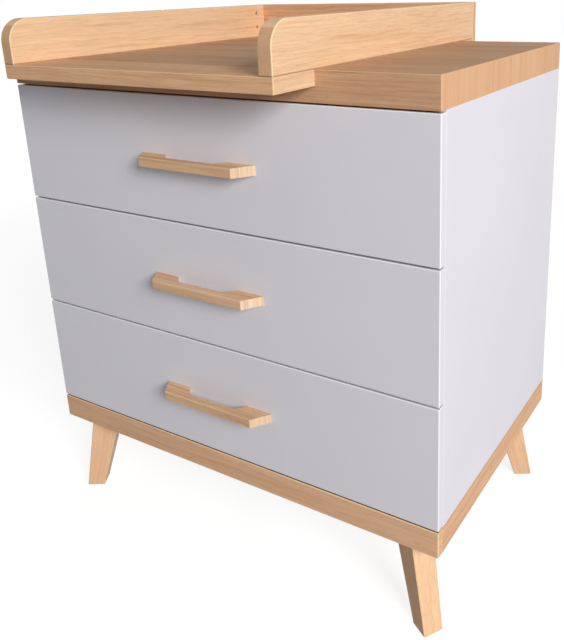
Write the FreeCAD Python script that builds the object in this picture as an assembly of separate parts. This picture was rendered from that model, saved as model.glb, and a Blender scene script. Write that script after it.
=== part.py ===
import FreeCAD, Part
import math
import os

# Changing dresser: a cabinet with three drawers on four splayed legs, and a changing top on its slab.
# Millimetres. +Z is up and -Y is the front, where the drawers open. The origin is on the floor, under
# the middle of the cabinet's width and the middle of the changing top's depth.

# Cabinet
cabinet_width = 910.0
cabinet_depth = 560.0            # from the drawer fronts to the slab's rear edge
surface_height = 973.0           # from the floor to the slab's upper face
slab_thickness = 50.0
leg_height = 181.0               # from the floor to the plinth's underside
plinth_height = 50.0
board = 16.0                     # side, bottom and plinth boards
band_radius = 2.0                # rounded edges of the edge-banded boards that show
edge_break = 0.6                 # every other board edge that shows
back_thickness = 3.0
back_inset = 11.0                # from the side panels' rear edges to the back panel
back_groove_depth = 8.0
cleat_section = 30.0

# Drawers
drawer_count = 3
front_thickness = 16.0
front_gap = 3.0                  # shadow gap above, below and between the fronts
front_stand_off = 1.0            # closed front to the side panels' front edges
drawer_board = 12.0
drawer_box_height = 160.0
drawer_box_lift = 26.0           # from a front's lower edge to its box
drawer_bottom_thickness = 3.0
drawer_groove_depth = 6.0
drawer_groove_lift = 10.0        # from the box's lower edge to the bottom's groove
drawer_back_inset = 8.0          # from the sides' rear ends to the back

# Runners
runner_length = 500.0            # also the length of the drawer sides
runner_depth = 12.7
runner_height = 45.0
rail_sheet = 1.2
rail_clearance = 0.4             # running clearance between the rails of a pair
rail_end_inset = 2.0

# Handles, seen from above: a trapezoid with a finger gap cut into its back
handle_back_length = 252.0
handle_front_length = 205.0
handle_projection = 35.0
handle_height = 17.0
handle_edge_radius = 1.0
grip_back_length = 142.0
grip_front_length = 106.0
grip_depth = 20.0
grip_inner_radius = 12.0
grip_mouth_radius = 6.0
handle_screw_spacing = 192.0
handle_screw_radius = 2.0
handle_screw_depth = 16.0        # thread in the wood
handle_screw_head_radius = 4.0
handle_screw_head_height = 2.5

# Legs
foot_size = 38.0
foot_inset_x = 32.0              # from the cabinet's side to the foot's middle
foot_inset_y = 28.0              # from the cabinet's front or rear to the foot's middle
leg_top_length = 66.0            # along the leg's own direction
leg_top_width = 48.0
leg_splay = 60.0                 # from the middle of the leg's top out to the foot's middle
leg_edge_radius = 2.0
glide_radius = 12.0
glide_thickness = 2.0
leg_bolt_radius = 4.0
leg_bolt_depth = 40.0            # in the leg
leg_bolt_end = 1.5               # stands out of the nut
washer_radius = 8.0
washer_thickness = 1.6
nut_across_flats = 13.0
nut_height = 6.5

# Changing top
tray_width = 584.0
tray_middle = -42.0              # its middle, from the cabinet's middle
tray_overhang_front = 102.0
tray_overhang_rear = 68.0
tray_wall = 25.0                 # side walls
tray_back_thickness = 16.0
tray_wall_height = 77.0          # above the slab
tray_corner_radius = 40.0
tray_board = 25.0                # front and rear boards, flush with the slab's top
barrel_radius = 4.0
barrel_length = 15.0
barrel_recess = 5.0              # below the side wall's inner face
barrel_setback = 30.0            # from the side walls' rear ends
barrel_heights = (24.0, 57.0)    # above the slab
tray_bolt_radius = 2.5
tray_bolt_head_radius = 4.5
tray_bolt_head_height = 4.0
tray_bolt_recess = 0.5           # head below the back wall's rear face
tray_screw_radius = 2.5
tray_screw_length = 42.0
tray_screw_head_radius = 4.5
tray_screw_head_height = 3.0
tray_screw_inset = 22.0          # from the front board's front and rear edges
tray_rear_screw_inset = 11.0     # from the back wall
bracket_width = 40.0
bracket_sheet = 2.0
bracket_foot = 36.0              # under the rear board
bracket_foot_hole = 22.0         # from the slab to the upright screws
bracket_gap = 2.0                # to the slab's lower edge
bracket_spacing = 400.0
bracket_hole_spacing = 24.0
bracket_screw_radius = 2.0
bracket_screw_depth = 14.0
bracket_head_radius = 3.5
bracket_head_height = 2.0

# Cross-shaped drives in cams, barrel nuts and screw heads
recess_span = 5.0
recess_slot = 1.1
recess_depth = 1.5

# Hidden fasteners of boards
fit_clearance = 0.1              # round a dowel, cam, bolt or screw in its hole
dowel_radius = 4.0
dowel_edge_depth = 20.0          # in a board's edge
dowel_face_depth = 10.0          # in a board's face
top_dowel_inset = 42.0           # from a side panel's front and rear edges
low_dowel_inset = 170.0
cam_radius = 7.5
cam_height = 12.5
cam_setback = 34.0               # from the joint to the cam's middle
cam_bolt_radius = 3.0
cam_bolt_depth = 11.0            # in the board it grips
top_cam_inset = 82.0
low_cam_inset = 130.0
drawer_cam_radius = 6.0
drawer_cam_height = 9.0
drawer_cam_setback = 24.0
drawer_cam_inset = 35.0          # from the box's lower and upper edges
drawer_cam_bolt_radius = 2.5
drawer_cam_bolt_depth = 10.0

# Levels and planes that follow from the sizes above
half_width = cabinet_width / 2
inner_half_width = half_width - board
slab_bottom = surface_height - slab_thickness
plinth_top = leg_height + plinth_height
floor_top = plinth_top + board
y_tray_front = -(tray_overhang_front + cabinet_depth + tray_overhang_rear) / 2
y_front = y_tray_front + tray_overhang_front
y_rear = y_front + cabinet_depth
y_tray_rear = y_rear + tray_overhang_rear
y_panel = y_front + front_thickness + front_stand_off
y_back = y_rear - back_inset - back_thickness
y_box = y_front + front_thickness
y_box_end = y_box + runner_length
box_half_width = inner_half_width - runner_depth
front_height = (slab_bottom - plinth_top - (drawer_count + 1) * front_gap) / drawer_count
tray_left = tray_middle - tray_width / 2
tray_right = tray_middle + tray_width / 2
tray_top = surface_height + tray_wall_height
y_wall_end = y_tray_rear - tray_back_thickness
leg_angle = math.atan2(cabinet_depth, cabinet_width)

TINY = 1e-6
X_AXIS = FreeCAD.Vector(1, 0, 0)
Y_AXIS = FreeCAD.Vector(0, 1, 0)
Z_AXIS = FreeCAD.Vector(0, 0, 1)
SIDES = {"left": -1, "right": 1}


def block(x_a, x_b, y_a, y_b, z_a, z_b):
    """Box between two corners, given in any order."""
    low = FreeCAD.Vector(min(x_a, x_b), min(y_a, y_b), min(z_a, z_b))
    return Part.makeBox(abs(x_b - x_a), abs(y_b - y_a), abs(z_b - z_a), low)


def rod(radius, start, axis, length):
    """Cylinder from start along axis; a negative length runs the other way."""
    direction = axis if length > 0 else -axis
    return Part.makeCylinder(radius, abs(length), start, direction)


def cross_recess(middle, inward):
    """Drive recess that starts at middle on a fastener's face."""
    corner = FreeCAD.Vector(-recess_span / 2, -recess_slot / 2, 0)
    arm = Part.makeBox(recess_span, recess_slot, recess_depth, corner)
    crossing = arm.copy()
    crossing.rotate(FreeCAD.Vector(), Z_AXIS, 90)
    cross = arm.fuse(crossing).removeSplitter()
    cross.Placement = FreeCAD.Placement(middle, FreeCAD.Rotation(Z_AXIS, inward))
    return cross


def edges_in_plane(shape, normal, distance):
    """Edges whose ends lie in the plane across normal at that distance from the origin."""
    return [edge for edge in shape.Edges
            if all(abs(vertex.Point.dot(normal) - distance) < TINY for vertex in edge.Vertexes)]


def upright_edges_at(shape, points):
    """Edges parallel to Z that stand on the given plan points."""
    found = []
    for edge in shape.Edges:
        first, last = edge.Vertexes[0].Point, edge.Vertexes[-1].Point
        upright = abs(first.x - last.x) + abs(first.y - last.y) < TINY
        if upright and any(math.hypot(first.x - x, first.y - y) < TINY for x, y in points):
            found.append(edge)
    return found


def plain_board(*corners):
    """Board with all its edges broken."""
    shape = block(*corners)
    return shape.makeFillet(edge_break, shape.Edges)


def banded(shape, normal, distance):
    """Rounded edges, apart from the broken ones round the face that meets another board."""
    meeting = edges_in_plane(shape, normal, distance)
    shape = shape.makeFillet(band_radius, [edge for edge in shape.Edges
                                           if not any(edge.isSame(other) for other in meeting)])
    return shape.makeFillet(edge_break, edges_in_plane(shape, normal, distance))


def save(name, *shapes):
    """Write the solids of one sub-part to its own file."""
    solids = [solid for shape in shapes for solid in shape.Solids]
    group = solids[0] if len(solids) == 1 else Part.makeCompound(solids)
    assert all(solid.isValid() for solid in solids), name
    group.exportStep("parts/" + name + ".step")
    print(name, len(solids), round(sum(solid.Volume for solid in solids)))


# Hidden fasteners: where each one stands, as (x, y, z) on the face where two boards meet

def edge_insets(inset):
    return (y_panel + inset, y_rear - inset)


def top_joints(inset):
    """On the side panels' upper edges, under the slab."""
    return [(side * (half_width - board / 2), y, slab_bottom)
            for side in SIDES.values() for y in edge_insets(inset)]


def low_joints(inset):
    """On the side panels' inner faces, at the ends of the bottom panel."""
    return [(side * inner_half_width, y, plinth_top + board / 2)
            for side in SIDES.values() for y in edge_insets(inset)]


def joint_rod(point, axis, radius, before, after):
    """Rod through a joint: before it and after it along the axis."""
    start = FreeCAD.Vector(*point) - axis * before
    return rod(radius, start, axis, before + after)


def carcass_dowel_rods(clearance=0.0):
    radius = dowel_radius + clearance
    before = dowel_edge_depth + clearance
    after = dowel_face_depth + clearance
    rods = []
    for point in top_joints(top_dowel_inset):
        rods.append(joint_rod(point, Z_AXIS, radius, before, after))
    for point in low_joints(low_dowel_inset):
        outward = X_AXIS * math.copysign(1, point[0])
        rods.append(joint_rod(point, outward, radius, before, after))
    return rods


def carcass_cam_seats():
    """Middle of each cam's open face, with the direction into the board."""
    seats = []
    for x, y, z in top_joints(top_cam_inset):
        side = math.copysign(1, x)
        seats.append((FreeCAD.Vector(side * inner_half_width, y, z - cam_setback), X_AXIS * side))
    for x, y, z in low_joints(low_cam_inset):
        side = math.copysign(1, x)
        seats.append((FreeCAD.Vector(x - side * cam_setback, y, plinth_top), Z_AXIS))
    return seats


def carcass_cam_discs(clearance=0.0):
    return [rod(cam_radius + clearance, middle, inward, cam_height)
            for middle, inward in carcass_cam_seats()]


def carcass_cam_rods(clearance=0.0):
    before = cam_setback - cam_radius
    after = cam_bolt_depth + clearance
    radius = cam_bolt_radius + clearance
    rods = []
    for point in top_joints(top_cam_inset):
        rods.append(joint_rod(point, Z_AXIS, radius, before, after))
    for point in low_joints(low_cam_inset):
        outward = X_AXIS * math.copysign(1, point[0])
        rods.append(joint_rod(point, outward, radius, before, after))
    return rods


def carcass_holes():
    cam_holes = carcass_cam_discs(fit_clearance) + carcass_cam_rods(fit_clearance)
    return carcass_dowel_rods(fit_clearance) + cam_holes


# Cabinet

def make_slab():
    slab = block(-half_width, half_width, y_front, y_rear, slab_bottom, surface_height)
    slab = banded(slab, Z_AXIS, slab_bottom)
    save("top_slab", slab.cut(carcass_holes() + bracket_screw_shanks(fit_clearance)))


def make_side_panels():
    for name, side in SIDES.items():
        panel = plain_board(side * inner_half_width, side * half_width, y_panel, y_rear,
                             plinth_top, slab_bottom)
        groove = block(side * inner_half_width, side * (inner_half_width + back_groove_depth),
                       y_back, y_back + back_thickness, plinth_top, slab_bottom)
        save("side_panel_" + name, panel.cut([groove] + carcass_holes()))


def make_bottom_panel():
    panel = block(-inner_half_width, inner_half_width, y_panel, y_back, plinth_top, floor_top)
    bolt_holes = []
    for x, y in leg_tops().values():
        start = FreeCAD.Vector(x, y, plinth_top)
        bolt_holes.append(rod(leg_bolt_radius + fit_clearance, start, Z_AXIS, board))
    save("bottom_panel", panel.cut(bolt_holes + carcass_holes()))


def make_back_panel():
    reach = inner_half_width + back_groove_depth
    save("back_panel", block(-reach, reach, y_back, y_back + back_thickness, plinth_top, slab_bottom))


def make_plinth():
    front = block(-half_width, half_width, y_front, y_front + board, leg_height, plinth_top)
    save("plinth_front", banded(front, Y_AXIS, y_front + board))
    save("plinth_rear", plain_board(-inner_half_width, inner_half_width, y_rear - board, y_rear,
                                    leg_height, plinth_top))
    for name, side in SIDES.items():
        save("plinth_side_" + name, plain_board(side * inner_half_width, side * half_width,
                                                y_front + board, y_rear, leg_height, plinth_top))
    reach = min(abs(x) for x, y in leg_tops().values()) - math.hypot(leg_top_length, leg_top_width) / 2
    low = plinth_top - cleat_section
    y_near, y_far = y_front + board, y_rear - board
    save("plinth_cleats", block(-reach, reach, y_near, y_near + cleat_section, low, plinth_top),
         block(-reach, reach, y_far - cleat_section, y_far, low, plinth_top))


def make_carcass_fasteners():
    save("carcass_dowels", *carcass_dowel_rods())
    discs = [disc.cut(cross_recess(*seat)) for disc, seat in zip(carcass_cam_discs(), carcass_cam_seats())]
    save("carcass_cams", *(discs + carcass_cam_rods()))


# Legs

def leg_corners():
    """Name of each leg, with its side and its end: -1 is left or front, 1 is right or rear."""
    ends = {"front": -1, "rear": 1}
    return {end + "_" + name: (side, ends[end]) for end in ends for name, side in SIDES.items()}


def foot_middle(side, end):
    y = y_front + foot_inset_y if end < 0 else y_rear - foot_inset_y
    return FreeCAD.Vector(side * (half_width - foot_inset_x), y, 0)


def leg_direction(side, end):
    """Level direction in which a leg points outward."""
    return FreeCAD.Vector(side * math.cos(leg_angle), end * math.sin(leg_angle), 0)


def leg_tops():
    tops = {}
    for name, (side, end) in leg_corners().items():
        middle = foot_middle(side, end) - leg_direction(side, end) * leg_splay
        tops[name] = (middle.x, middle.y)
    return tops


def level_rectangle(middle, along, length, width):
    """Closed rectangle in a level plane, with its length along a level direction."""
    across = Z_AXIS.cross(along)
    corners = [middle + along * (length / 2 * a) + across * (width / 2 * b)
               for a, b in ((-1, -1), (1, -1), (1, 1), (-1, 1))]
    return Part.makePolygon(corners + corners[:1])


def make_legs():
    for name, (side, end) in leg_corners().items():
        along = leg_direction(side, end)
        foot = foot_middle(side, end) + Z_AXIS * glide_thickness
        top_x, top_y = leg_tops()[name]
        top = FreeCAD.Vector(top_x, top_y, plinth_top)
        leg = Part.makeLoft([level_rectangle(foot, along, foot_size, foot_size),
                             level_rectangle(top, along, leg_top_length, leg_top_width)], True, True)
        long_edges = [edge for edge in leg.Edges if abs(edge.Vertexes[0].Z - edge.Vertexes[1].Z) > TINY]
        leg = leg.makeFillet(leg_edge_radius, long_edges)
        hole = rod(leg_bolt_radius + fit_clearance, top, Z_AXIS, -(leg_bolt_depth + fit_clearance))
        save("leg_" + name, leg.cut(hole))


def hexagon_prism(middle, across_flats, height):
    """Upright prism on a regular hexagon."""
    corner = X_AXIS * (across_flats / math.sqrt(3))
    turn = FreeCAD.Rotation(Z_AXIS, 60)
    outline = [middle + corner]
    for _ in range(6):
        corner = turn.multVec(corner)
        outline.append(middle + corner)
    return Part.Face(Part.makePolygon(outline)).extrude(Z_AXIS * height)


def make_leg_fasteners():
    solids = []
    for x, y in leg_tops().values():
        bolt_foot = FreeCAD.Vector(x, y, plinth_top - leg_bolt_depth)
        length = leg_bolt_depth + board + washer_thickness + nut_height + leg_bolt_end
        solids.append(rod(leg_bolt_radius, bolt_foot, Z_AXIS, length))
        through = rod(leg_bolt_radius + fit_clearance, bolt_foot, Z_AXIS, length)
        seat = FreeCAD.Vector(x, y, floor_top)
        solids.append(rod(washer_radius, seat, Z_AXIS, washer_thickness).cut(through))
        nut = hexagon_prism(seat + Z_AXIS * washer_thickness, nut_across_flats, nut_height)
        solids.append(nut.cut(through))
    save("leg_bolts", *solids)


def make_glides():
    save("foot_glides", *[rod(glide_radius, foot_middle(side, end), Z_AXIS, glide_thickness)
                          for side, end in leg_corners().values()])


# Changing top

def tray_wall_middles():
    return {"left": tray_left + tray_wall / 2, "right": tray_right - tray_wall / 2}


def tray_bolt_shanks(clearance=0.0):
    """Bolts from the back wall through the barrel nuts, without their heads."""
    shanks = []
    y_head = y_tray_rear - tray_bolt_recess - tray_bolt_head_height
    reach = y_head - (y_wall_end - barrel_setback) + barrel_radius + clearance
    for x in tray_wall_middles().values():
        for height in barrel_heights:
            start = FreeCAD.Vector(x, y_head, surface_height + height)
            shanks.append(rod(tray_bolt_radius + clearance, start, Y_AXIS, -reach))
    return shanks


def tray_bolt_heads(clearance=0.0):
    heads = []
    length = tray_bolt_head_height + (tray_bolt_recess if clearance else 0.0)
    for x in tray_wall_middles().values():
        for height in barrel_heights:
            start = FreeCAD.Vector(x, y_tray_rear - tray_bolt_recess - tray_bolt_head_height,
                                   surface_height + height)
            heads.append(rod(tray_bolt_head_radius + clearance, start, Y_AXIS, length))
    return heads


def barrel_starts(name, depth):
    """Ends of the barrel nuts of one side wall, that deep below its inner face."""
    x_face = tray_left + tray_wall if name == "left" else tray_right - tray_wall
    x = x_face + SIDES[name] * depth
    y = y_wall_end - barrel_setback
    return [FreeCAD.Vector(x, y, surface_height + height) for height in barrel_heights]


def barrel_bores(name):
    length = SIDES[name] * (barrel_recess + barrel_length + fit_clearance)
    return [rod(barrel_radius + fit_clearance, start, X_AXIS, length) for start in barrel_starts(name, 0.0)]


def barrel_nuts(name):
    inward = X_AXIS * SIDES[name]
    return [rod(barrel_radius, start, inward, barrel_length).cut(cross_recess(start, inward))
            for start in barrel_starts(name, barrel_recess)]


def tray_screw_points():
    front_places = [y_tray_front + tray_screw_inset, y_front - tray_screw_inset]
    rear_place = y_wall_end - tray_rear_screw_inset
    return [FreeCAD.Vector(x, y, surface_height - tray_board)
            for x in tray_wall_middles().values() for y in front_places + [rear_place]]


def tray_screw_solid(point, clearance=0.0):
    head = Part.makeCone(tray_screw_head_radius + clearance, tray_screw_radius + clearance,
                         tray_screw_head_height, point, Z_AXIS)
    shank = rod(tray_screw_radius + clearance, point, Z_AXIS, tray_screw_length + clearance)
    return shank.fuse(head).removeSplitter()


def make_tray_walls():
    holes = tray_bolt_shanks(fit_clearance)
    holes += [tray_screw_solid(point, fit_clearance) for point in tray_screw_points()]
    for name, x_out in (("left", tray_left), ("right", tray_right)):
        x_in = x_out - SIDES[name] * tray_wall
        wall = block(x_out, x_in, y_tray_front, y_wall_end, surface_height, tray_top)
        front_top = [edge for edge in edges_in_plane(wall, Y_AXIS, y_tray_front)
                     if all(abs(vertex.Z - tray_top) < TINY for vertex in edge.Vertexes)]
        wall = banded(wall.makeFillet(tray_corner_radius, front_top), Z_AXIS, surface_height)
        save("tray_wall_" + name, wall.cut(holes + barrel_bores(name)))


def make_tray_back_wall():
    wall = block(tray_left, tray_right, y_wall_end, y_tray_rear, surface_height - tray_board, tray_top)
    wall = wall.makeFillet(band_radius, wall.Edges)
    save("tray_back_wall", wall.cut(tray_bolt_shanks(fit_clearance) + tray_bolt_heads(fit_clearance)))


def make_tray_boards():
    low = surface_height - tray_board
    holes = [tray_screw_solid(point, fit_clearance) for point in tray_screw_points()]
    front = block(tray_left, tray_right, y_tray_front, y_front, low, surface_height)
    save("tray_front_board", banded(front, Y_AXIS, y_front).cut(holes))
    rear = plain_board(tray_left, tray_right, y_rear, y_wall_end, low, surface_height)
    save("tray_rear_board", rear.cut(holes + bracket_screw_shanks(fit_clearance)))


def make_tray_fasteners():
    threads = tray_bolt_shanks(fit_clearance)
    save("tray_barrel_nuts", *[nut.cut(threads) for name in SIDES for nut in barrel_nuts(name)])
    save("tray_bolts", *[head.fuse(shank).removeSplitter()
                         for head, shank in zip(tray_bolt_heads(), tray_bolt_shanks())])
    save("tray_screws", *[tray_screw_solid(point) for point in tray_screw_points()])


def bracket_middles():
    return [tray_middle + side * bracket_spacing / 2 for side in SIDES.values()]


def bracket_drop():
    """How far a bracket reaches below the rear board."""
    return slab_thickness - tray_board - bracket_gap


def bracket_screws():
    """Each screw as its seat on the bracket and the direction into the wood."""
    under = surface_height - tray_board
    seats = []
    for middle in bracket_middles():
        for side in SIDES.values():
            x = middle + side * bracket_hole_spacing / 2
            seats.append((FreeCAD.Vector(x, y_rear + bracket_sheet, under - bracket_drop() / 2), -Y_AXIS))
            seats.append((FreeCAD.Vector(x, y_rear + bracket_foot_hole, under - bracket_sheet), Z_AXIS))
    return seats


def bracket_screw_shanks(clearance=0.0):
    radius = bracket_screw_radius + clearance
    length = bracket_sheet + bracket_screw_depth + clearance
    return [rod(radius, seat, inward, length) for seat, inward in bracket_screws()]


def make_brackets():
    under = surface_height - tray_board
    brackets = []
    for middle in bracket_middles():
        x_a, x_b = middle - bracket_width / 2, middle + bracket_width / 2
        wing = block(x_a, x_b, y_rear, y_rear + bracket_sheet, under - bracket_drop(), under)
        foot = block(x_a, x_b, y_rear, y_rear + bracket_foot, under - bracket_sheet, under)
        bracket = wing.fuse(foot).removeSplitter()
        brackets.append(bracket.cut(bracket_screw_shanks(fit_clearance)))
    save("tray_brackets", *brackets)
    screws = []
    for (seat, inward), shank in zip(bracket_screws(), bracket_screw_shanks()):
        head = rod(bracket_head_radius, seat, -inward, bracket_head_height)
        screws.append(shank.fuse(head).removeSplitter())
    save("tray_bracket_screws", *screws)


# Runners, one pair for each drawer

def box_bottom(index):
    """Height of a drawer box's lower edge; drawer 0 is the top one."""
    below = drawer_count - 1 - index
    return plinth_top + front_gap + below * (front_height + front_gap) + drawer_box_lift


def rail(side, z_middle, inset, near, far, opens_inward):
    """Channel rail; near and far are distances from the side panel's inner face."""
    half = runner_height / 2 - inset
    y_a, y_b = y_box + rail_end_inset, y_box_end - rail_end_inset
    x_near, x_far = (side * (inner_half_width - distance) for distance in (near, far))
    outer = block(x_near, x_far, y_a, y_b, z_middle - half, z_middle + half)
    web = side * rail_sheet
    x_a, x_b = (x_near - web, x_far) if opens_inward else (x_near, x_far + web)
    inner = half - rail_sheet
    return outer.cut(block(x_a, x_b, y_a, y_b, z_middle - inner, z_middle + inner))


def make_runners():
    step = rail_sheet + rail_clearance
    reach = runner_depth - step
    fixed = []
    for index in range(drawer_count):
        z = box_bottom(index) + drawer_box_height / 2
        fixed += [rail(side, z, 0.0, 0.0, reach, True) for side in SIDES.values()]
        save("middle_rails_%d" % (index + 1),
             *[rail(side, z, step, step, reach, True) for side in SIDES.values()])
        save("drawer_%d_rails" % (index + 1),
             *[rail(side, z, 2 * step, 2 * step, runner_depth, False) for side in SIDES.values()])
    save("cabinet_rails", *fixed)


# Drawers

def handle_screw_places(z):
    return [FreeCAD.Vector(side * handle_screw_spacing / 2, y_box, z) for side in SIDES.values()]


def handle_screw_shanks(z, clearance=0.0):
    radius = handle_screw_radius + clearance
    length = front_thickness + handle_screw_depth + clearance
    return [rod(radius, place, Y_AXIS, -length) for place in handle_screw_places(z)]


def make_handle(name, z):
    """Bar with slanted ends and a finger gap behind it."""
    y_bar = y_front - handle_projection
    y_grip = y_front - grip_depth
    right = [(grip_front_length / 2, y_grip), (grip_back_length / 2, y_front),
             (handle_back_length / 2, y_front), (handle_front_length / 2, y_bar)]
    left = [(-x, y) for x, y in reversed(right)]
    outline = [FreeCAD.Vector(x, y, z - handle_height / 2) for x, y in right + left + right[:1]]
    handle = Part.Face(Part.makePolygon(outline)).extrude(Z_AXIS * handle_height)
    inner, mouth = (right[0], left[-1]), (right[1], left[-2])
    handle = handle.makeFillet(grip_inner_radius, upright_edges_at(handle, inner))
    handle = handle.makeFillet(grip_mouth_radius, upright_edges_at(handle, mouth))
    handle = handle.makeFillet(handle_edge_radius, edges_in_plane(handle, Y_AXIS, y_bar))
    save(name, handle.cut(handle_screw_shanks(z, fit_clearance)))


def drawer_cam_points(index):
    """Where the sides meet the front, as (side, height)."""
    low = box_bottom(index)
    heights = (low + drawer_cam_inset, low + drawer_box_height - drawer_cam_inset)
    return [(side, z) for side in SIDES.values() for z in heights]


def drawer_cam_seats(index):
    """Middle of each cam's open face, with the direction into the drawer's side."""
    x = box_half_width - drawer_board
    y = y_box + drawer_cam_setback
    return [(FreeCAD.Vector(side * x, y, z), X_AXIS * side) for side, z in drawer_cam_points(index)]


def drawer_cam_discs(index, clearance=0.0):
    return [rod(drawer_cam_radius + clearance, middle, inward, drawer_cam_height)
            for middle, inward in drawer_cam_seats(index)]


def drawer_cam_rods(index, clearance=0.0):
    rods = []
    for side, z in drawer_cam_points(index):
        start = FreeCAD.Vector(side * (box_half_width - drawer_board / 2),
                               y_box + drawer_cam_setback - drawer_cam_radius, z)
        length = drawer_cam_setback - drawer_cam_radius + drawer_cam_bolt_depth + clearance
        rods.append(rod(drawer_cam_bolt_radius + clearance, start, Y_AXIS, -length))
    return rods


def make_drawer(index):
    name = "drawer_%d_" % (index + 1)
    low = box_bottom(index)
    top = low + drawer_box_height
    z_front = low - drawer_box_lift
    z_handle = z_front + front_height / 2
    z_groove = low + drawer_groove_lift
    z_bottom_top = z_groove + drawer_bottom_thickness
    inside = box_half_width - drawer_board
    bottom_reach = inside + drawer_groove_depth
    y_back_rear = y_box_end - drawer_back_inset
    y_back_front = y_back_rear - drawer_board

    bottom = block(-bottom_reach, bottom_reach, y_box - drawer_groove_depth, y_back_rear,
                   z_groove, z_bottom_top)
    back = block(-bottom_reach, bottom_reach, y_back_front, y_back_rear, z_bottom_top, top)
    bores = drawer_cam_discs(index, fit_clearance) + drawer_cam_rods(index, fit_clearance)

    front = block(-half_width, half_width, y_front, y_box, z_front, z_front + front_height)
    front = banded(front, Y_AXIS, y_box)
    save(name + "front", front.cut([bottom] + bores + handle_screw_shanks(z_handle, fit_clearance)))
    for side_name, side in SIDES.items():
        panel = block(side * inside, side * box_half_width, y_box, y_box_end, low, top)
        groove = block(side * inside, side * bottom_reach, y_box, y_box_end, z_groove, z_bottom_top)
        save(name + "side_" + side_name, panel.cut([groove, back] + bores))
    save(name + "back", back)
    save(name + "bottom", bottom)
    seats = drawer_cam_seats(index)
    discs = [disc.cut(cross_recess(*seat)) for disc, seat in zip(drawer_cam_discs(index), seats)]
    save(name + "cams", *(discs + drawer_cam_rods(index)))
    make_handle(name + "handle", z_handle)
    screws = []
    for place, shank in zip(handle_screw_places(z_handle), handle_screw_shanks(z_handle)):
        head = rod(handle_screw_head_radius, place, Y_AXIS, handle_screw_head_height)
        recess = cross_recess(place + Y_AXIS * handle_screw_head_height, -Y_AXIS)
        screws.append(shank.fuse(head).removeSplitter().cut(recess))
    save(name + "handle_screws", *screws)


os.makedirs("parts", exist_ok=True)
make_slab()
make_side_panels()
make_bottom_panel()
make_back_panel()
make_plinth()
make_carcass_fasteners()
make_legs()
make_leg_fasteners()
make_glides()
make_tray_walls()
make_tray_back_wall()
make_tray_boards()
make_tray_fasteners()
make_brackets()
make_runners()
for drawer in range(drawer_count):
    make_drawer(drawer)
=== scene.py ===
import math

import bpy
from mathutils import Matrix, Vector

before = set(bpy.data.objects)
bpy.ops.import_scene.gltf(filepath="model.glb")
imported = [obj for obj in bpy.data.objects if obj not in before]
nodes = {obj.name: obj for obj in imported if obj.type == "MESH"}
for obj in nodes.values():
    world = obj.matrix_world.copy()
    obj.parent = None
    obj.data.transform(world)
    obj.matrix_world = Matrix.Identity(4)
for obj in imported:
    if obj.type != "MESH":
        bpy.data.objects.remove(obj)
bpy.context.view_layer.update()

scene = bpy.context.scene
scene.view_settings.view_transform = "Standard"


# ---------------------------------------------------------------- camera, fitted to the photo

IMAGE_WIDTH, IMAGE_HEIGHT = 564, 640     # pixels
FOCAL_PIXELS = 737.35
CENTRE_PIXEL = (358.16, 209.45)
SENSOR_WIDTH = 36.0     # mm
CAMERA_PLACE = (0.8669, -1.1756, 1.0897)
YAW, PITCH, ROLL = 30.990, 16.894, 1.516     # degrees


def make_camera():
    yaw, pitch, roll = (math.radians(angle) for angle in (YAW, PITCH, ROLL))
    forward = Vector((-math.sin(yaw) * math.cos(pitch), math.cos(yaw) * math.cos(pitch),
                      -math.sin(pitch)))
    right = Vector((math.cos(yaw), math.sin(yaw), 0))
    down = forward.cross(right)
    turned_right = math.cos(roll) * right + math.sin(roll) * down
    turned_down = math.cos(roll) * down - math.sin(roll) * right
    data = bpy.data.cameras.new("camera")
    data.sensor_fit = "HORIZONTAL"
    data.sensor_width = SENSOR_WIDTH
    data.lens = FOCAL_PIXELS / IMAGE_WIDTH * SENSOR_WIDTH
    data.shift_x = (IMAGE_WIDTH / 2 - CENTRE_PIXEL[0]) / IMAGE_WIDTH
    data.shift_y = (CENTRE_PIXEL[1] - IMAGE_HEIGHT / 2) / IMAGE_WIDTH
    camera = bpy.data.objects.new("camera", data)
    axes = Matrix((turned_right, -turned_down, -forward)).transposed()
    camera.matrix_world = Matrix.Translation(CAMERA_PLACE) @ axes.to_4x4()
    scene.collection.objects.link(camera)
    scene.camera = camera


# ---------------------------------------------------------------- node trees

class Tree:
    """Adds nodes to the cleared tree of a material or the world."""

    def __init__(self, owner, output):
        owner.use_nodes = True
        self.tree = owner.node_tree
        self.tree.nodes.clear()
        self.surface = self.add(output).inputs["Surface"]

    def add(self, kind, inputs=None, **settings):
        """New node with these settings. Its inputs are linked to a socket or set to a value."""
        node = self.tree.nodes.new(kind)
        for key, value in settings.items():
            setattr(node, key, value)
        for key, value in (inputs or {}).items():
            self.feed(node.inputs[key], value)
        return node

    def link(self, source, target):
        self.tree.links.new(source, target)

    def feed(self, target, value):
        if isinstance(value, bpy.types.NodeSocket):
            self.link(value, target)
        else:
            target.default_value = value

    def maths(self, operation, first, second=0.0, clamp=False):
        node = self.add("ShaderNodeMath", {0: first, 1: second}, operation=operation,
                        use_clamp=clamp)
        return node.outputs[0]

    def vector(self, operation, first, second=(0.0, 0.0, 0.0)):
        node = self.add("ShaderNodeVectorMath", {0: first, 1: second}, operation=operation)
        return node.outputs["Value" if operation in ("LENGTH", "DOT_PRODUCT") else "Vector"]

    def blend(self, factor, first, second):
        """Mix of two shaders."""
        return self.add("ShaderNodeMixShader", {0: factor, 1: first, 2: second}).outputs[0]


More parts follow.
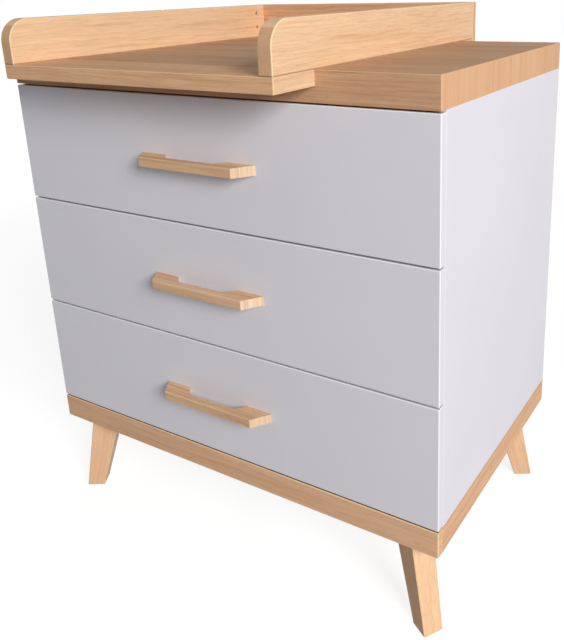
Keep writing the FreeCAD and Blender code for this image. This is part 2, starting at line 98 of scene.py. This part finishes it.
class Graph(Tree):
    """Tree of a material of the object, with its shader and each point's place and normal."""

    def __init__(self, name):
        self.material = bpy.data.materials.new(name)
        super().__init__(self.material, "ShaderNodeOutputMaterial")
        self.shader = self.add("ShaderNodeBsdfPrincipled")
        self.link(self.shader.outputs[0], self.surface)
        coordinates = self.add("ShaderNodeTexCoord").outputs
        self.place, self.normal = coordinates["Object"], coordinates["Normal"]

    def parts(self, vector):
        """The X, Y and Z of a vector."""
        return self.add("ShaderNodeSeparateXYZ", {0: vector}).outputs

    def turned(self, vector, angles):
        return self.add("ShaderNodeMapping", {"Vector": vector, "Rotation": angles},
                        vector_type="POINT").outputs[0]

    def noise(self, vector, scale, detail=2.0, roughness=0.5, output="Fac"):
        node = self.add("ShaderNodeTexNoise", {"Vector": vector, "Scale": scale,
                                               "Detail": detail, "Roughness": roughness})
        return node.outputs[output]

    def ramp(self, factor, stops):
        """Colour ramp; each stop is a position and a grey value or a colour."""
        node = self.add("ShaderNodeValToRGB", {0: factor})
        elements = node.color_ramp.elements
        while len(elements) < len(stops):
            elements.new(0.5)
        for element, (position, value) in zip(elements, stops):
            element.position = position
            element.color = (*((value,) * 3 if isinstance(value, float) else value), 1.0)
        return node.outputs[0]

    def mix(self, factor, first, second, blend="MIX", kind="RGBA"):
        """Mix of two colours, or of two vectors where the kind says VECTOR."""
        node = self.add("ShaderNodeMix", {"Factor": factor}, data_type=kind, blend_type=blend)
        for name, value in (("A", first), ("B", second)):
            for socket in node.inputs:
                if socket.type == kind and socket.name == name:
                    self.feed(socket, value)
        return [socket for socket in node.outputs if socket.type == kind][0]

    def multiply(self, first, second):
        return self.mix(1.0, first, second, "MULTIPLY")

    def finish(self, colour, rough, relief, strength, distance):
        """Gives the shader its colour, roughness and relief, and returns the material."""
        bump = self.add("ShaderNodeBump", {"Height": relief, "Strength": strength,
                                           "Distance": distance})
        for name, value in (("Base Color", colour), ("Roughness", rough),
                            ("Normal", bump.outputs[0])):
            self.link(value, self.shader.inputs[name])
        return self.material


# ---------------------------------------------------------------- light and floor

LAMP_COLOUR = (1.0, 0.985, 0.97)
KEY_PLACE, KEY_TARGET = (5.48, -3.46, 3.20), (0.0, 0.0, 0.55)
KEY_SIZE, KEY_WATTS = (2.7, 2.5), 430.0
FILL_FROM = (-0.66, 0.75, 0.05)     # direction
FILL_WIDTH, FILL_STRENGTH = 8.0, 2.5     # degrees, strength of a sun lamp
AMBIENT_COLOUR, AMBIENT_STRENGTH = (0.92, 0.98, 0.98), 0.19
WHITE_LIGHT = (1.0, 1.0, 1.0)
FLOOR_COLOUR = (0.38, 0.38, 0.38)
FLOOR_REACH = 14.0
FLOOR_DROP = 0.0005     # keeps the floor just under the feet
NEAR_GLOW, FAR_GLOW = 0.80, 0.92
GLOW_RISES_FROM, GLOW_RISES_TO = 0.7, 4.5     # distances on the floor


def place_lamp(name, data, direction):
    """Lamp object that shines along a direction."""
    data.color = LAMP_COLOUR
    lamp = bpy.data.objects.new(name, data)
    lamp.rotation_mode = "QUATERNION"
    lamp.rotation_quaternion = direction.to_track_quat("-Z", "Y")
    scene.collection.objects.link(lamp)
    return lamp


def make_key_light():
    data = bpy.data.lights.new("key", "AREA")
    data.shape = "RECTANGLE"
    data.size, data.size_y = KEY_SIZE
    data.energy = KEY_WATTS
    place_lamp("key", data, Vector(KEY_TARGET) - Vector(KEY_PLACE)).location = KEY_PLACE


def make_low_sun():
    """Even light from so near the level that it passes over the changing top's floor.

    It leaves no highlight, so that the steel rails don't flash."""
    data = bpy.data.lights.new("back_fill", "SUN")
    data.angle = math.radians(FILL_WIDTH)
    data.energy = FILL_STRENGTH
    place_lamp("back_fill", data, -Vector(FILL_FROM)).visible_glossy = False


def seen_directly(tree):
    """1 for rays that show the background itself, to the eye, in a mirror or through glass."""
    path = tree.add("ShaderNodeLightPath").outputs
    seen = tree.maths("ADD", path["Is Camera Ray"], path["Is Glossy Ray"], clamp=True)
    return tree.maths("ADD", seen, path["Is Transmission Ray"], clamp=True)


def make_world():
    """Faint even light on the object, and white where the background itself is seen."""
    scene.world = bpy.data.worlds.new("studio")
    tree = Tree(scene.world, "ShaderNodeOutputWorld")
    faint, white = (
        tree.add("ShaderNodeBackground", {"Color": (*colour, 1.0), "Strength": strength})
        for colour, strength in ((AMBIENT_COLOUR, AMBIENT_STRENGTH), (WHITE_LIGHT, 1.0)))
    seen = seen_directly(tree)
    tree.link(tree.blend(seen, faint.outputs[0], white.outputs[0]), tree.surface)


def make_floor():
    """Floor whose own light, seen only directly, rises with distance to meet the background.

    From below it lets the eye through to the object's underside."""
    mesh = bpy.data.meshes.new("floor")
    corners = [(x * FLOOR_REACH, y * FLOOR_REACH, 0)
               for x, y in ((-1, -1), (1, -1), (1, 1), (-1, 1))]
    mesh.from_pydata(corners, [], [(0, 1, 2, 3)])
    floor = bpy.data.objects.new("floor", mesh)
    floor.location.z = -FLOOR_DROP
    scene.collection.objects.link(floor)
    material = bpy.data.materials.new("pale_floor")
    mesh.materials.append(material)
    tree = Tree(material, "ShaderNodeOutputMaterial")
    distance = tree.vector("LENGTH", tree.add("ShaderNodeTexCoord").outputs["Object"])
    glow = tree.add("ShaderNodeMapRange",
                    {"Value": distance, "From Min": GLOW_RISES_FROM, "From Max": GLOW_RISES_TO,
                     "To Min": NEAR_GLOW, "To Max": FAR_GLOW}, interpolation_type="SMOOTHSTEP")
    strength = tree.maths("MULTIPLY", seen_directly(tree), glow.outputs[0])
    paint = tree.add("ShaderNodeBsdfDiffuse", {"Color": (*FLOOR_COLOUR, 1.0)})
    light = tree.add("ShaderNodeEmission", {"Strength": strength})
    upper = tree.add("ShaderNodeAddShader", {0: paint.outputs[0], 1: light.outputs[0]})
    lower = tree.add("ShaderNodeBsdfTransparent")
    from_below = tree.add("ShaderNodeNewGeometry").outputs["Backfacing"]
    tree.link(tree.blend(from_below, upper.outputs[0], lower.outputs[0]), tree.surface)


# ---------------------------------------------------------------- colours and masks

def linear(value):
    """Linear share of a 0 to 255 value that a screen shows."""
    share = value / 255
    return share / 12.92 if share <= 0.04045 else ((share + 0.055) / 1.055) ** 2.4


def srgb(*values):
    return tuple(linear(value) for value in values)


def tones(*colours):
    """A wood's light, middle and dark colour."""
    return [srgb(*colour) for colour in colours]


def scaled(colour, gain=1.0):
    """Colour with alpha, gain times as light, but never quite white."""
    return (*(min(0.95, part * gain) for part in colour), 1.0)


# The slab's oak is set darker than the other boards: partly its own tone, partly painted shade on
# its dimly lit top and front.
SLAB_OAK = tones((217, 175, 138), (206, 162, 127), (183, 138, 103))
BOARD_OAK = tones((238, 195, 155), (228, 181, 141), (205, 155, 116))
PLINTH_OAK = tones((241, 197, 157), (233, 186, 148), (211, 162, 125))
# The tray walls' oak is set lighter than the other boards: partly its own tone, partly painted
# light on the brightly lit walls.
WALL_OAK = tones((248, 211, 172), (242, 202, 162), (226, 183, 144))
LEG_OAK = tones((251, 209, 169), (246, 199, 158), (232, 180, 140))
HANDLE_OAK = tones((240, 203, 165), (226, 185, 147), (198, 153, 113))
SOFTWOOD = tones((232, 205, 160), (222, 190, 142), (200, 163, 112))
ZINC = tones((188, 188, 184), (170, 172, 174), (150, 153, 157))
WHITE = srgb(231, 229, 237)
WHITE_LACQUER = srgb(226, 226, 229)
BROWN_FIBRE = srgb(188, 151, 114)
DARK_GREY = srgb(62, 58, 55)

AXES = {"X": Vector((1, 0, 0)), "Y": Vector((0, 1, 0)), "Z": Vector((0, 0, 1))}
ALONG_AXIS = 0.985     # part of a normal along an axis from which it counts as facing it


def angles_to_x(direction):
    """Turn that lays a direction, or the axis of that name, along X."""
    if isinstance(direction, str):
        direction = AXES[direction]
    return direction.rotation_difference(AXES["X"]).to_euler("XYZ")


def part_along(graph, axis):
    """Part of the normal along an axis, with its sign."""
    return graph.vector("DOT_PRODUCT", graph.normal, AXES[axis])


def rounded_mask(graph, heading=0.0, limit=ALONG_AXIS):
    """1 on rounded edges, which face none of the axes that are turned by heading about Z."""
    normal = graph.turned(graph.normal, (0.0, 0.0, -heading)) if heading else graph.normal
    x, y, z = graph.parts(graph.vector("ABSOLUTE", normal))
    largest = graph.maths("MAXIMUM", graph.maths("MAXIMUM", x, y), z)
    short = graph.maths("SUBTRACT", limit, largest, clamp=True)
    return graph.maths("MULTIPLY", short, 8.0, clamp=True)


def face_edge_mask(graph, axis):
    """1 on the rounded edges of the two faces across an axis."""
    facing = graph.maths("ABSOLUTE", part_along(graph, axis))
    return graph.ramp(facing, [(0.10, 0.0), (0.25, 1.0), (0.90, 1.0), (ALONG_AXIS, 0.0)])


def upward_mask(graph):
    """1 on level faces that look up."""
    return graph.maths("GREATER_THAN", part_along(graph, "Z"), ALONG_AXIS)


# ---------------------------------------------------------------- materials

# Broad bands, streaks, fibres and pores: how often each varies along and across the grain in
# a metre, and the detail and roughness of its noise.
FIGURE = ((0.9, 19.0, 3.0, 0.55), (3.4, 170.0, 4.0, 0.66), (14.0, 800.0, 2.0, 0.6),
          (38.0, 1150.0, 1.0, 0.5))
BROAD_SHARE, STREAK_SHARE = 0.40, 0.60     # of the figure
SWAY = 0.018     # how far the grain wanders from a straight line
END_FACING = 0.7     # part of a normal along the grain from which a face counts as an end
EDGE_HIGHLIGHT_SHARE = 0.7     # share of the lighter tone on a rounded edge: a painted highlight, with the lighter band on banded boards
SHADE_LINE_HEIGHT = 0.0015     # the painted shade line in a joint is full to 0.7 of this and gone at 1.7 of it
SHADE_LINE_SHARE = 0.8
IN_SHADOW = 0.35     # share of a wood's dark tone that is painted as shade in a joint or a narrow gap
WOOD_SPECULAR, FOIL_SPECULAR = 0.06, 0.35


def wood(name, grain, colours, end=None, end_gain=(1.0, 1.0, 1.0), end_calm=0.0, seed=0.0,
         waviness=1.0, pores=0.35, gloss=0.60, edges=rounded_mask, edge_highlight_gain=1.12, joint=None,
         shaded_top=False):
    """Wood with its grain along a direction, and along end on the faces across the first.

    The colours are its light, middle and dark tone. The faces across are multiplied by the
    colour end_gain and lose the share end_calm of their figure. The joint is a level where a
    painted shade line runs along the meeting with another board, and 1 or -1 for a board above
    or below it. The shaded top paints shade on the upward faces of a hidden upper edge's gap."""
    light, middle, dark = colours
    graph = Graph(name)
    along = graph.turned(graph.place, angles_to_x(grain))
    if end is not None:
        facing = graph.maths("ABSOLUTE", part_along(graph, grain))
        on_end = graph.maths("GREATER_THAN", facing, END_FACING)
        across = graph.turned(graph.place, angles_to_x(end))
        along = graph.mix(on_end, along, across, kind="VECTOR")
    moved = graph.vector("ADD", along, (seed, seed * 0.37, seed * 0.71))
    drift = graph.noise(graph.vector("MULTIPLY", moved, (1.0, 3.0, 3.0)), 2.2, output="Color")
    sway = graph.vector("MULTIPLY", graph.vector("SUBTRACT", drift, (0.5, 0.5, 0.5)),
                        (0.0, SWAY * waviness, SWAY * waviness))
    bent = graph.vector("ADD", moved, sway)
    broad, streaks, fibres, pits = (
        graph.noise(graph.vector("MULTIPLY", bent, (length, width, width)), 1.0, detail, rough)
        for length, width, detail, rough in FIGURE)
    figure = graph.maths("ADD", graph.maths("MULTIPLY", broad, BROAD_SHARE),
                         graph.maths("MULTIPLY", streaks, STREAK_SHARE))
    colour = graph.ramp(figure, [(0.34, dark), (0.49, middle), (0.64, light)])
    colour = graph.multiply(colour, graph.ramp(fibres, [(0.30, 0.88), (0.55, 1.0), (0.75, 1.04)]))
    pore = graph.ramp(pits, [(0.62, 0.0), (0.70, 1.0)])
    colour = graph.mix(graph.maths("MULTIPLY", pore, pores), colour, scaled(dark, 0.70))
    if end is not None:
        colour = graph.mix(graph.maths("MULTIPLY", on_end, end_calm), colour, scaled(middle))
        colour = graph.mix(on_end, colour, (*end_gain, 1.0), "MULTIPLY")
    # Painted shade: a dark line along the level where the board meets another one.
    if joint is not None:
        level, side = joint
        height = graph.maths("SUBTRACT", graph.parts(graph.place)["Z"], level)
        away = graph.maths("MULTIPLY", height, side / SHADE_LINE_HEIGHT)
        shade_line = graph.maths("SUBTRACT", 1.7, away, clamp=True)
        shade_line = graph.maths("MULTIPLY", shade_line, SHADE_LINE_SHARE)
        colour = graph.mix(shade_line, colour, scaled(dark, IN_SHADOW))
    # Rounded edges take a lighter tone: a painted highlight, and on banded boards also their
    # lighter edge band.
    edge = edges(graph)
    edge_highlight = graph.maths("MULTIPLY", edge, EDGE_HIGHLIGHT_SHARE)
    colour = graph.mix(edge_highlight, colour, scaled(light, edge_highlight_gain))
    # Painted shade: the upward faces take the dark tone, for the narrow gap above them.
    if shaded_top:
        colour = graph.mix(upward_mask(graph), colour, scaled(dark, IN_SHADOW))
    rough = graph.maths("ADD", graph.maths("MULTIPLY", fibres, 0.16), gloss - 0.08)
    rough = graph.maths("ADD", rough, graph.maths("MULTIPLY", pore, 0.12))
    rough = graph.maths("SUBTRACT", rough, graph.maths("MULTIPLY", edge, 0.14))
    relief = graph.maths("SUBTRACT", graph.maths("MULTIPLY", fibres, 0.5),
                         graph.maths("MULTIPLY", pore, 0.6))
    graph.shader.inputs["Specular IOR Level"].default_value = WOOD_SPECULAR
    return graph.finish(colour, rough, relief, 0.35, 0.00025)


def melamine(name, seed, gloss=0.46, top_shade_gain=1.0):
    """White faced board with the fine orange-peel texture of its foil.

    Its upward faces can be set darker than the rest: painted shade for the narrow gaps above them."""
    graph = Graph(name)
    moved = graph.vector("ADD", graph.place, (seed, seed, seed))
    clouds = graph.noise(moved, 5.0, 3.0)
    speck = graph.noise(moved, 1400.0, 2.0, 0.6)
    body = graph.multiply(scaled(WHITE), graph.ramp(clouds, [(0.25, 0.965), (0.75, 1.0)]))
    body = graph.multiply(body, graph.ramp(speck, [(0.3, 0.975), (0.7, 1.0)]))
    edge = rounded_mask(graph)
    # Rounded edges are lighter: a painted highlight, together with the lighter edge band.
    body = graph.mix(edge, body, scaled(WHITE, 1.16))
    # Painted shade on the upward faces, for the narrow gaps between the drawer fronts.
    if top_shade_gain != 1.0:
        body = graph.mix(upward_mask(graph), body, scaled(WHITE, top_shade_gain))
    peel = graph.noise(moved, 620.0, 3.0, 0.6)
    rough = graph.maths("ADD", graph.maths("MULTIPLY", peel, 0.12), gloss - 0.06)
    rough = graph.maths("SUBTRACT", rough, graph.maths("MULTIPLY", edge, 0.18))
    relief = graph.maths("ADD", peel, graph.maths("MULTIPLY", speck, 0.4))
    graph.shader.inputs["Specular IOR Level"].default_value = FOIL_SPECULAR
    return graph.finish(body, rough, relief, 0.3, 0.00012)


def zinc_steel(name):
    """Zinc-plated steel with faint drawing lines along Y."""
    light, middle, dark = ZINC
    graph = Graph(name)
    drawn = graph.noise(graph.vector("MULTIPLY", graph.place, (900.0, 40.0, 900.0)), 1.0, 3.0, 0.6)
    bloom = graph.noise(graph.place, 55.0, 3.0, 0.6)
    colour = graph.ramp(bloom, [(0.3, dark), (0.5, middle), (0.7, light)])
    colour = graph.multiply(colour, graph.ramp(drawn, [(0.3, 0.93), (0.7, 1.0)]))
    rough = graph.maths("ADD", graph.maths("MULTIPLY", drawn, 0.2), 0.30)
    graph.shader.inputs["Metallic"].default_value = 1.0
    return graph.finish(colour, rough, drawn, 0.25, 0.00005)


def moulded_plastic(name, colour):
    graph = Graph(name)
    spark = graph.noise(graph.place, 2600.0, 2.0, 0.6)
    clouds = graph.noise(graph.place, 60.0)
    body = graph.multiply(scaled(colour), graph.ramp(clouds, [(0.3, 0.85), (0.7, 1.0)]))
    rough = graph.maths("ADD", graph.maths("MULTIPLY", spark, 0.2), 0.48)
    return graph.finish(body, rough, spark, 0.4, 0.0001)


def hardboard(name, face, back):
    """Lacquered face towards the front or the top, brown fibres on the other side."""
    graph = Graph(name)
    parts = graph.parts(graph.normal)
    hidden = graph.maths("MAXIMUM", graph.maths("GREATER_THAN", parts["Y"], 0.5),
                         graph.maths("LESS_THAN", parts["Z"], -0.5))
    fibres = graph.noise(graph.place, 420.0, 5.0, 0.7)
    clouds = graph.noise(graph.place, 9.0, 3.0)
    brown = graph.ramp(fibres, [(0.3, scaled(back, 0.72)[:3]), (0.7, back)])
    white = graph.multiply(scaled(face), graph.ramp(clouds, [(0.3, 0.96), (0.7, 1.0)]))
    rough = graph.maths("ADD", graph.maths("MULTIPLY", hidden, 0.3), 0.5)
    return graph.finish(graph.mix(hidden, white, brown), rough, fibres, 0.3, 0.00015)


# ---------------------------------------------------------------- which piece gets which
# The seeds only set the pieces' figures apart.

PLINTH_TOP, CHANGING_SURFACE = 0.231, 0.973     # levels
DRAWERS = (1, 2, 3)
LEG_RUN = (0.0511, 0.0314, -0.229)     # of a leg's axis, from the plinth to its foot
LEG_HEADING = 0.5517     # of a leg's outward direction from the X axis, in radians


def dress(material, *names):
    for name in names:
        slots = nodes[name].data.materials
        slots.clear()
        slots.append(material)


def dress_oak_boards():
    plinth = {"colours": PLINTH_OAK, "waviness": 0.8}
    # The plinth front gets painted shade on its top in the gap under the fronts, and a stronger
    # painted highlight on its rounded front edges.
    plinth_front = {**plinth, "edges": lambda graph: face_edge_mask(graph, "Y"),
                    "edge_highlight_gain": 1.35, "shaded_top": True}
    plinth_side = {**plinth, "joint": (PLINTH_TOP, -1)}
    tray = {"colours": BOARD_OAK, "end_gain": (1.03, 1.11, 1.17)}
    boards = (("plinth_front", "X", "Y", plinth_front), ("plinth_rear", "X", "Y", plinth),
              ("plinth_side_left", "Y", "X", plinth_side),
              ("plinth_side_right", "Y", "X", plinth_side),
              ("tray_back_wall", "X", "Z", tray), ("tray_front_board", "X", "Y", tray),
              ("tray_rear_board", "X", "Y", tray))
    for index, (name, grain, end, look) in enumerate(boards):
        dress(wood("oak_" + name, grain, end=end, seed=3.3 * index, **look), name)
    # The slab's ends are set lighter: partly a lighter edge band, partly painted light for the lit
    # end.
    dress(wood("oak_top_slab", "X", SLAB_OAK, "Z", end_gain=(1.26, 1.27, 1.27), end_calm=0.5,
               seed=31.0), "top_slab")
    for index, name in enumerate(("tray_wall_left", "tray_wall_right")):
        dress(wood("oak_" + name, "Y", WALL_OAK, "Z", end_gain=(0.79, 0.72, 0.70),
                   seed=35.0 + 2.7 * index, waviness=1.5,
                   edges=lambda graph: face_edge_mask(graph, "X"),
                   joint=(CHANGING_SURFACE, 1)), name)


def dress_white_boards():
    dress(melamine("white_carcass", 1.3), "side_panel_left", "side_panel_right", "bottom_panel")
    for index in DRAWERS:
        name = "drawer_%d_" % index
        # The fronts' upward faces get painted shade for the gaps between them.
        dress(melamine("white_front_%d" % index, 2.0 + index, top_shade_gain=0.68), name + "front")
        dress(melamine("white_box_%d" % index, 6.0 + index, gloss=0.5),
              name + "side_left", name + "side_right", name + "back")


def dress_solid_wood():
    for end, y in (("front", -1), ("rear", 1)):
        for side, x in (("left", -1), ("right", 1)):
            name = "leg_%s_%s" % (end, side)
            lean = Vector((x * LEG_RUN[0], y * LEG_RUN[1], LEG_RUN[2])).normalized()
            heading = LEG_HEADING * x * y
            dress(wood("solid_" + name, lean, LEG_OAK, seed=50 + 2.3 * x + 1.1 * y, waviness=0.7,
                       gloss=0.42, edges=lambda graph: rounded_mask(graph, heading, 0.94)), name)
    for index in DRAWERS:
        # The handles' ends are set lighter: partly their own tone, partly painted light for the
        # end that faces the lamp.
        dress(wood("solid_handle_%d" % index, "X", HANDLE_OAK, "Z", end_gain=(1.03, 1.14, 1.25),
                   seed=70 + 1.7 * index, waviness=0.8, gloss=0.40,
                   edges=lambda graph: face_edge_mask(graph, "Z")), "drawer_%d_handle" % index)
    dress(wood("planed_softwood", "X", SOFTWOOD, seed=90.0, pores=0.1), "plinth_cleats",
          "carcass_dowels")


def dress_small_parts():
    steel = zinc_steel("zinc_steel")
    dress(steel, "leg_bolts", "tray_bolts", "tray_screws", "tray_brackets",
          "tray_bracket_screws", "tray_barrel_nuts", "carcass_cams", "cabinet_rails")
    for index in DRAWERS:
        dress(steel, "middle_rails_%d" % index, "drawer_%d_rails" % index,
              "drawer_%d_cams" % index, "drawer_%d_handle_screws" % index)
    dress(hardboard("white_hardboard", WHITE_LACQUER, BROWN_FIBRE), "back_panel",
          "drawer_1_bottom", "drawer_2_bottom", "drawer_3_bottom")
    dress(moulded_plastic("glide_plastic", DARK_GREY), "foot_glides")


make_camera()
make_world()
make_floor()
make_key_light()
make_low_sun()
dress_oak_boards()
dress_white_boards()
dress_solid_wood()
dress_small_parts()
